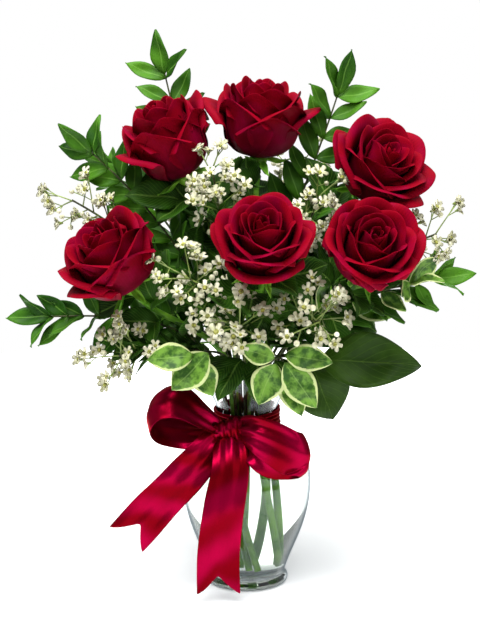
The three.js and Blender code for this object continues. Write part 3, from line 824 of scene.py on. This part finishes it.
rose_leaves = [blade("rose_leaf", 0.22, arch, 0.78, teeth=0.1, along=18) for arch in (0.1, -0.1, 0.02)]
sepal = blade("sepal", 0.3, -0.12, 0.55)
leaf_green = Finish("rose_leaf_green", Roughness=0.5, Specular_IOR_Level=0.1)
u, v, _ = leaf_green.parts(leaf_green.cloth())
rib = 1 - ((u - 0.5).sum("ABSOLUTE")).band(0.0, 0.05)
ribs = ((v * 1.0 + (u - 0.5).sum("ABSOLUTE") * -0.8) * 75).sum("SINE").band(0.55, 1.0)
tone = leaf_green.noise(leaf_green.place(), 50, 3)
base = leaf_green.blend(tone.band(0.3, 0.75), (0.007, 0.028, 0.0015), (0.028, 0.1, 0.005))
leaf_green.set("Base Color", leaf_green.blend(rib * 0.7 + ribs * 0.25, base, (0.16, 0.3, 0.05)))
leaf_green.bump(rib + ribs * 0.5, 0.4, 0.3 * mm)


def looking(spot):
    """The way a leaf faces: out of the bouquet, more to its front or back than to its sides."""
    hand = -1 if spot.y < 40 * mm else 1
    return Vector((spot.x * 2.0, hand * 0.2, 0.12)).normalized()


hip_line = [(0, -0.3), (6, -0.3), (7.2, -2.2), (6.6, -5), (4.4, -8.2), (2.6, -11), (0, -12)]

# The lowest leaves hang over the lip all round: where each starts and ends, and its width.
collar = {
    1: [(at(-30, 10, 12), at(-62, 14, -6), 24)],
    2: [(at(0, 34, 12), at(4, 62, -10), 24)],
    3: [(at(30, 8, 12), at(60, 20, -8), 24)],
    4: [(at(-4, -34, 13), at(-22, -62, -12), 25), (at(8, -36, 12), at(6, -64, -11), 23)],
    5: [(at(22, -30, 12), at(44, -54, -6), 24)],
    6: [(at(-24, -26, 12), at(-54, -46, -8), 26), (at(-14, -36, 15), at(-40, -62, 0), 24)],
}

for rose in roses:
    dice = random.Random(rose.number)
    points, low = rose.route()
    stalk = round_stem("stalk", points, tapered(points, rose_width, 0.12), 8)
    wear(stalk, green_stem, leaf_green)
    hip = turned("hip", [(r * mm, z * mm) for r, z in reversed(hip_line)], 20)
    hip.data.transform(seat_frame(rose))
    wear(hip, green_stem)
    parts = [stalk, hip]
    frame_here = seat_frame(rose)
    for k in range(5):
        angle = 2 * math.pi * (k + dice.uniform(-0.1, 0.1)) / 5
        out = Vector((math.cos(angle), math.sin(angle), dice.uniform(-0.5, 0.1))).normalized()
        start = frame_here @ Vector((math.cos(angle) * 5 * mm, math.sin(angle) * 5 * mm, -3 * mm))
        way = frame_here.to_3x3() @ out
        one = leaf_from(sepal, start, way, rose.axis, dice.uniform(20, 26) * mm, 6 * mm)
        wear(one, green_stem)
        parts.append(one)
    for k, fraction in enumerate((0.12, 0.3, 0.45, 0.6, 0.75, 0.88)):
        spot = spline(points[low:], fraction)
        ahead = (spline(points[low:], fraction + 0.05) - spot).normalized()
        across = ahead.cross(Vector((0.3, 1, 0))).normalized()
        side = Matrix.Rotation(2.4 * k + rose.number, 3, ahead) @ across
        stem_way = (ahead * 0.5 + side * 0.9).normalized()
        reach = (14 + 10 * (1 - fraction)) * mm
        end = spot + stem_way * reach
        twig = round_stem("twig", [spot, (spot + end) / 2 + up * 2 * mm, end], [1.6 * mm] * 3, 4)
        wear(twig, green_stem)
        parts.append(twig)
        for turn, size in ((0, 40), (1.0, 34), (-1.0, 34)):
            size *= dice.uniform(0.85, 1.1)
            look = looking(end)
            way = Matrix.Rotation(turn, 3, look) @ stem_way
            start = end - stem_way * (2 if turn == 0 else reach / mm * 0.5) * mm
            one = leaf_from(dice.choice(rose_leaves), start, way, look, size * mm, size * 0.6 * mm)
            wear(one, leaf_green)
            parts.append(one)
    for start, end, width in collar[rose.number]:
        look = looking(end) + up * 0.15
        length = (end - start).length
        one = leaf_from(dice.choice(rose_leaves), start, end - start, look, length, width * mm)
        wear(one, leaf_green)
        parts.append(one)
    whole = join(f"rose_stalk_{rose.number}", parts)
    stands_for(whole, "rose_stem", f"rose_{rose.number}_stem")

# ---- ruscus sprigs ----
# Wiry green sprigs with smooth pointed leaves in pairs and one leaf at the tip. The leaves are
# bright mid-green with a pale midrib and a slight gloss.
ruscus_green = Finish("ruscus_green", Roughness=0.5, Specular_IOR_Level=0.12)
u, _, _ = ruscus_green.parts(ruscus_green.cloth())
rib = 1 - ((u - 0.5).sum("ABSOLUTE")).band(0.0, 0.06)
lines = (u * 60).sum("SINE")
tone = ruscus_green.noise(ruscus_green.place(), 22, 3)
base = ruscus_green.blend(tone.band(0.3, 0.7), (0.011, 0.055, 0.002), (0.062, 0.19, 0.009))
ruscus_green.set("Base Color", ruscus_green.blend(rib * 0.5, base, (0.16, 0.34, 0.05)))
ruscus_green.bump(rib + lines * 0.1, 0.3, 0.3 * mm)
twig_brown = Finish("twig_brown", Roughness=0.6, Specular_IOR_Level=0.3)
bark = twig_brown.noise(twig_brown.place(), 160, 3)
twig_brown.set(
    "Base Color", twig_brown.blend(bark.band(0.35, 0.7), (0.022, 0.022, 0.008), (0.07, 0.095, 0.02))
)
twig_brown.bump(bark, 0.3, 0.2 * mm)
ruscus_leaves = [blade("ruscus_leaf", 0.12, arch, 0.88) for arch in (0.02, 0.07, -0.06)]


def facing(way, spot):
    """The side of a leaf that looks out of the bouquet, square to the way it grows."""
    out = looking(spot)
    out -= way * out.dot(way)
    return out.normalized()


def leafy(stem, leaves, finish, pairs, size, slim, open_way, bare, dice, tip_leaf=True):
    """A stalk with pairs of leaves from bare to its tip. slim is a leaf's width for its length,
    and open_way the angle at which the leaves leave the stalk."""
    points, low = stem.route()
    stalk = round_stem("stalk", points, tapered(points, stem.width, 0.6), 6)
    wear(stalk, twig_brown)
    parts = [stalk]
    total = len(points) - 1
    for k in range(pairs):
        t = bare + (0.97 - bare) * k / max(pairs - 1, 1)
        t = (low + t * (total - low)) / total
        spot = spline(points, t)
        ahead = (spline(points, min(t + 0.01, 1)) - spline(points, t - 0.01)).normalized()
        across = ahead.cross(facing(ahead, spot)).normalized()
        for hand in (1, -1):
            twist = Matrix.Rotation(dice.uniform(-0.6, 0.6), 3, ahead)
            side = twist @ across * hand
            opened = open_way + dice.uniform(-0.2, 0.2)
            way = ahead * math.cos(opened) + side * math.sin(opened) + up * dice.uniform(-0.25, 0.1)
            length = size * dice.uniform(0.8, 1.1) * (1.08 - 0.3 * k / pairs) * mm
            face = twist @ facing(way.normalized(), spot)
            one = leaf_from(
                dice.choice(leaves), spot, way, face, length, length * slim * dice.uniform(0.9, 1.1)
            )
            wear(one, finish)
            parts.append(one)
    if tip_leaf:
        face = facing(stem.way, points[-1])
        one = leaf_from(leaves[0], points[-1] - stem.way * 2 * mm, stem.way, face,
                        size * 0.9 * mm, size * slim * 0.9 * mm)
        wear(one, finish)
        parts.append(one)
    return parts


for sprig in sprigs:
    dice = random.Random(sprig.name)
    parts = leafy(sprig, ruscus_leaves, ruscus_green, sprig.pairs, sprig.leaf, 0.42, 0.8, sprig.bare, dice)
    whole = join(sprig.name.replace("ruscus_", "ruscus_sprig_"), parts)
    stands_for(whole, "long_leaves", sprig.name)

# ---- broad leaves ----
# Leathery salal leaves low at the collar: broad, dark, with a pale midrib and curved side veins.
# Each grows from the end of its own woody stalk, which stands in the vase among the others.
salal_green = Finish("salal_green", Roughness=0.45, Specular_IOR_Level=0.1)
u, v, _ = salal_green.parts(salal_green.cloth())
out = (u - 0.5).sum("ABSOLUTE")
rib = 1 - out.band(0.0, 0.02)
ribs = ((v - out * 0.9) * 50).sum("SINE").band(0.9, 1.0)
tone = salal_green.noise(salal_green.place(), 40, 4)
base = salal_green.blend(tone.band(0.3, 0.75), (0.01, 0.03, 0.0012), (0.024, 0.06, 0.003))
salal_green.set("Base Color", salal_green.blend(rib * 0.5 + ribs * 0.25, base, (0.06, 0.12, 0.012)))
salal_green.bump(rib + ribs * 0.6, 0.5, 0.5 * mm)
salal_leaf = blade("salal_leaf", 0.18, 0.1, 0.85, across=12, along=20)

for leaf_stem in broad:
    points, _ = leaf_stem.route()
    stalk = round_stem("stalk", points, tapered(points, twig_width, 0.3), 6)
    wear(stalk, twig_brown)
    one = leaf_from(
        salal_leaf, leaf_stem.tip, leaf_stem.way, leaf_stem.face, leaf_stem.length, 42 * mm, 0.6 * mm
    )
    wear(one, salal_green)
    whole = join(leaf_stem.name.replace("salal_", "salal_leaf_"), [stalk, one])
    stands_for(whole, "broad_leaves", leaf_stem.name)

# ---- variegated pittosporum ----
# Short shoots whose rounded, wavy leaves are bright green in the middle with a cream margin.
# Two are tucked in at the front, with their leaves laid over the lip, and two stand further up.
cream_edge = Finish("cream_edged_leaf", Roughness=0.5, Specular_IOR_Level=0.22)
u, _, _ = cream_edge.parts(cream_edge.cloth())
wander = cream_edge.noise(cream_edge.cloth(), 7, 4) * 0.5
rim = ((u - 0.5).sum("ABSOLUTE") * 2 + wander).band(1.0, 1.1)
rib = 1 - ((u - 0.5).sum("ABSOLUTE")).band(0.0, 0.03)
tone = cream_edge.noise(cream_edge.place(), 170, 4)
base = cream_edge.blend(tone.band(0.35, 0.65), (0.018, 0.07, 0.004), (0.13, 0.27, 0.03))
veined = cream_edge.blend(rib * 0.4, base, (0.25, 0.4, 0.1))
cream_edge.set("Base Color", cream_edge.blend(rim, veined, (0.48, 0.55, 0.24)))
cream_edge.bump(rib, 0.3, 0.4 * mm)
round_leaves = [blade("round_leaf", 0.12, arch, 0.9, across=8, along=14) for arch in (0.08, -0.08)]

# The leaves that lie in front of the collar: where each starts, where it ends and its width.
laid = {
    "pittosporum_1": [
        (at(21, -78, 21), at(8, -82, -9), 26),
        (at(27, -83, 23), at(50, -92, -9), 24),
        (at(27, -74, 17), at(40, -75, -20), 22),
        (at(27, -80, 28), at(62, -84, 23), 20),
        (at(20, -78, 25), at(-6, -80, 34), 17),
    ],
    "pittosporum_2": [
        (at(-29, -70, 27), at(-56, -74, 0), 27),
        (at(-38, -63, 20), at(-26, -62, -8), 22),
        (at(-40, -68, 24), at(-74, -72, 22), 22),
    ],
}

for shoot in shoots:
    dice = random.Random(shoot.name)
    pairs = 0 if shoot.name in laid else 4
    parts = leafy(
        shoot, round_leaves, cream_edge, pairs, shoot.leaf, 0.6, 1.05, 0.35, dice, tip_leaf=pairs > 0
    )
    for base, end, width in laid.get(shoot.name, []):
        length = (end - base).length
        look = Vector((dice.uniform(-0.3, 0.3), -1, dice.uniform(0.1, 0.5)))
        one = leaf_from(dice.choice(round_leaves), base, end - base, look, length, width * mm)
        wear(one, cream_edge)
        parts.append(one)
    whole = join(shoot.name.replace("pittosporum_", "pittosporum_shoot_"), parts)
    stands_for(whole, "variegated_leaves", shoot.name)

# ---- waxflower ----
# Thin twiggy branches with heads of small five-petalled cream flowers, each with a waxy cup and
# a yellow-green middle, among round buds and needle leaves.
wax_cream = Finish("wax_cream", Roughness=0.45, Specular_IOR_Level=0.3)
tone = wax_cream.noise(wax_cream.place(), 120, 2)
wax_cream.set("Base Color", wax_cream.blend(tone.band(0.3, 0.7), (0.42, 0.42, 0.25), (0.74, 0.72, 0.55)))
wax_cream.bump(tone, 0.2, 0.1 * mm)
wax_heart = Finish("wax_heart", Roughness=0.5)
speck = wax_heart.noise(wax_heart.place(), 500, 2)
wax_heart.set("Base Color", wax_heart.blend(speck.band(0.4, 0.6), (0.12, 0.13, 0.015), (0.36, 0.36, 0.06)))
wax_green = Finish("wax_green", Roughness=0.5)
shade = wax_green.noise(wax_green.place(), 130, 2)
wax_green.set("Base Color", wax_green.blend(shade.band(0.35, 0.7), (0.09, 0.13, 0.02), (0.22, 0.3, 0.06)))
wax_green.bump(shade, 0.2, 0.1 * mm)


def flower_pattern():
    points = [(0, 0, 0.4)]
    for k in range(20):
        angle = 2 * math.pi * k / 20
        notch = (1.0, 0.92, 0.4, 0.92)[k % 4]
        points.append((math.cos(angle) * 0.3, math.sin(angle) * 0.3, 0.3))
        points.append((math.cos(angle) * notch, math.sin(angle) * notch, 0.62 + 0.1 * notch))
    top = len(points)
    points.append((0, 0, -0.1))
    for k in range(20):
        x, y, z = points[2 + 2 * k]
        points.append((x * 0.9, y * 0.9, z - 0.14))
    faces = []
    for k in range(20):
        n = (k + 1) % 20
        faces.append((0, 1 + 2 * k, 1 + 2 * n))
        faces.append((1 + 2 * k, 2 + 2 * k, 2 + 2 * n, 1 + 2 * n))
        faces.append((2 + 2 * k, top + 1 + k, top + 1 + n, 2 + 2 * n))
        faces.append((top, top + 1 + n, top + 1 + k))
    piece = new_piece("flower", points, [], faces)
    bpy.ops.object.shade_smooth()
    wear(piece, wax_cream)
    bpy.ops.object.select_all(action="DESELECT")
    bpy.ops.mesh.primitive_cone_add(
        vertices=8, radius1=0.33, radius2=0.16, depth=0.22, location=(0, 0, 0.42)
    )
    heart = bpy.context.object
    wear(heart, wax_heart)
    bpy.ops.object.select_all(action="DESELECT")
    bpy.ops.mesh.primitive_cone_add(
        vertices=7, radius1=0.1, radius2=0.34, depth=0.7, location=(0, 0, -0.05)
    )
    cup = bpy.context.object
    wear(cup, wax_green)
    bpy.ops.object.select_all(action="DESELECT")
    for one in (heart, cup):
        one.select_set(True)
    bpy.context.view_layer.objects.active = cup
    bpy.ops.object.transform_apply(location=True)
    return join("flower", [piece, heart, cup])


def bud_pattern():
    bpy.ops.object.select_all(action="DESELECT")
    bpy.ops.mesh.primitive_uv_sphere_add(segments=8, ring_count=6, radius=0.5)
    piece = bpy.context.object
    wear(piece, wax_cream)
    bpy.ops.object.shade_smooth()
    return piece


flower = flower_pattern()
bud = bud_pattern()
needle = blade("needle", 0.2, 0.05, 0.6, across=2, along=4)


def copy_to(pattern, place):
    """A copy of a pattern with its own mesh, put in its place."""
    one = bpy.data.objects.new(pattern.name, pattern.data.copy())
    bpy.context.scene.collection.objects.link(one)
    one.data.transform(place)
    return one


def turned_to(spot, way, size, roll=0.0):
    """The place at a spot whose Z is turned to a way."""
    turn = up.rotation_difference(way).to_matrix().to_4x4()
    return Matrix.Translation(spot) @ turn @ Matrix.Rotation(roll, 4, "Z") @ Matrix.Scale(size, 4)


for head in heads:
    dice = random.Random(head.name)
    points, low = head.route()
    stalk = round_stem("stalk", points, tapered(points, twig_width, 0.5), 6)
    wear(stalk, twig_brown)
    parts = [stalk]
    total = len(points) - 1
    for k in range(12):
        t = (low + (0.1 + 0.6 * k / 11) * (total - low)) / total
        spot = spline(points, t)
        ahead = (spline(points, t + 0.01) - spline(points, t - 0.01)).normalized()
        for hand in range(3):
            out = Matrix.Rotation(2.1 * hand + k, 3, ahead) @ ahead.orthogonal().normalized()
            way = (ahead + out * dice.uniform(0.5, 1)).normalized()
            one = leaf_from(needle, spot, way, looking(spot), dice.uniform(18, 30) * mm, 3.2 * mm)
            wear(one, leaf_green)
            parts.append(one)
    for k in range(14):
        t = (low + (0.58 + 0.41 * k / 13) * (total - low)) / total
        spot = spline(points, t)
        ahead = (spline(points, min(t + 0.01, 1)) - spline(points, t - 0.01)).normalized()
        out = Matrix.Rotation(2.4 * k + dice.uniform(-0.4, 0.4), 3, ahead) @ ahead.orthogonal().normalized()
        way = (ahead * dice.uniform(0.3, 1.0) + out * 0.9 + facing(ahead, spot) * 0.3).normalized()
        end = spot + way * dice.uniform(14, 34) * mm
        twig = round_stem(
            "twig", [spot, (spot + end) / 2 + up * mm, end], [1.2 * mm, 1.0 * mm, 0.8 * mm], 4
        )
        wear(twig, wax_green)
        parts.append(twig)
        face = (way + facing(way, end) * 0.8).normalized()
        place = turned_to(end, face, dice.uniform(5.2, 6.6) * mm, dice.uniform(0, 6))
        parts.append(copy_to(flower, place))
        for _ in range(2):
            away = (way + Vector([dice.uniform(-0.9, 0.9) for _ in range(3)])).normalized()
            far = spot.lerp(end, 0.6)
            tip = far + away * dice.uniform(7, 12) * mm
            bit = round_stem("twig", [far, (far + tip) / 2, tip], [0.8 * mm] * 3, 4)
            wear(bit, wax_green)
            parts.append(bit)
            if dice.random() < 0.55:
                face = (away + facing(away, tip)).normalized()
                place = turned_to(tip, face, dice.uniform(4.6, 6) * mm, dice.uniform(0, 6))
                parts.append(copy_to(flower, place))
            else:
                parts.append(copy_to(bud, turned_to(tip, away, dice.uniform(3.5, 5) * mm)))
    whole = join(head.name.replace("waxflower_", "waxflower_head_"), parts)
    stands_for(whole, "waxflower", head.name)

for pattern in (*rose_leaves, sepal, *ruscus_leaves, salal_leaf, *round_leaves, flower, bud, needle):
    bpy.data.objects.remove(pattern)

# ---- table and light ----
# A white round table top that glows with painted light, dimmer close round the vase's foot so that a
# painted shadow stays there; a broad soft light above the front and a weaker one at the right.
# The backdrop is plain white, and gives less light from low down than from overhead.
bpy.ops.object.select_all(action="DESELECT")
bpy.ops.mesh.primitive_circle_add(vertices=96, radius=0.85, fill_type="NGON")
table = bpy.context.object
table.name = "table_top"
table_white = Finish("table_white", Base_Color=(0.93, 0.94, 0.95), Roughness=0.7, Emission_Strength=1.0)
x, y, _ = table_white.parts(table_white.place())
# Painted light: the table top glows faintly next to the vase's foot and brightly further out, so the floor
# looks evenly lit and keeps a painted contact shadow round the foot.
away = ((x * x + y * y) ** 0.5).band(0.06, 0.3)
table_white.set("Emission Color", table_white.blend(away, (0.22, 0.23, 0.24), (0.85, 0.85, 0.85)))
wear(table, table_white)


def soft_light(name, place, size, power, colour=(1, 1, 1)):
    bpy.ops.object.light_add(type="AREA", location=place)
    lamp = bpy.context.object
    lamp.name = name
    lamp.data.size = size
    lamp.data.energy = power
    lamp.data.color = colour
    lamp.rotation_euler = (Vector((0, 0, 0.2)) - Vector(place)).to_track_quat("-Z", "Y").to_euler()


soft_light("key_light", (-0.2, -0.55, 1.75), 1.4, 64)
soft_light("fill_light", (1.1, -1.0, 0.8), 1.2, 8)
world = bpy.data.worlds.new("studio")
world.use_nodes = True
backdrop = world.node_tree.nodes["Background"]
backdrop.inputs[0].default_value = (1, 1, 1, 1)
ray = world.node_tree.nodes.new("ShaderNodeLightPath")
sky = world.node_tree.nodes.new("ShaderNodeTexCoord")
height = world.node_tree.nodes.new("ShaderNodeSeparateXYZ")
soft = world.node_tree.nodes.new("ShaderNodeMapRange")
for index, value in ((1, 0.0), (2, 1.0), (3, 0.16), (4, 0.8)):
    soft.inputs[index].default_value = value
seen = world.node_tree.nodes.new("ShaderNodeMath")
seen.operation = "MAXIMUM"
for start, end in (
    (sky.outputs["Generated"], height.inputs[0]),
    (height.outputs["Z"], soft.inputs[0]),
    (soft.outputs[0], seen.inputs[0]),
    (ray.outputs["Is Camera Ray"], seen.inputs[1]),
):
    world.node_tree.links.new(start, end)
world.node_tree.links.new(seen.outputs[0], backdrop.inputs[1])
bpy.context.scene.world = world
bpy.context.scene.view_settings.view_transform = "Standard"
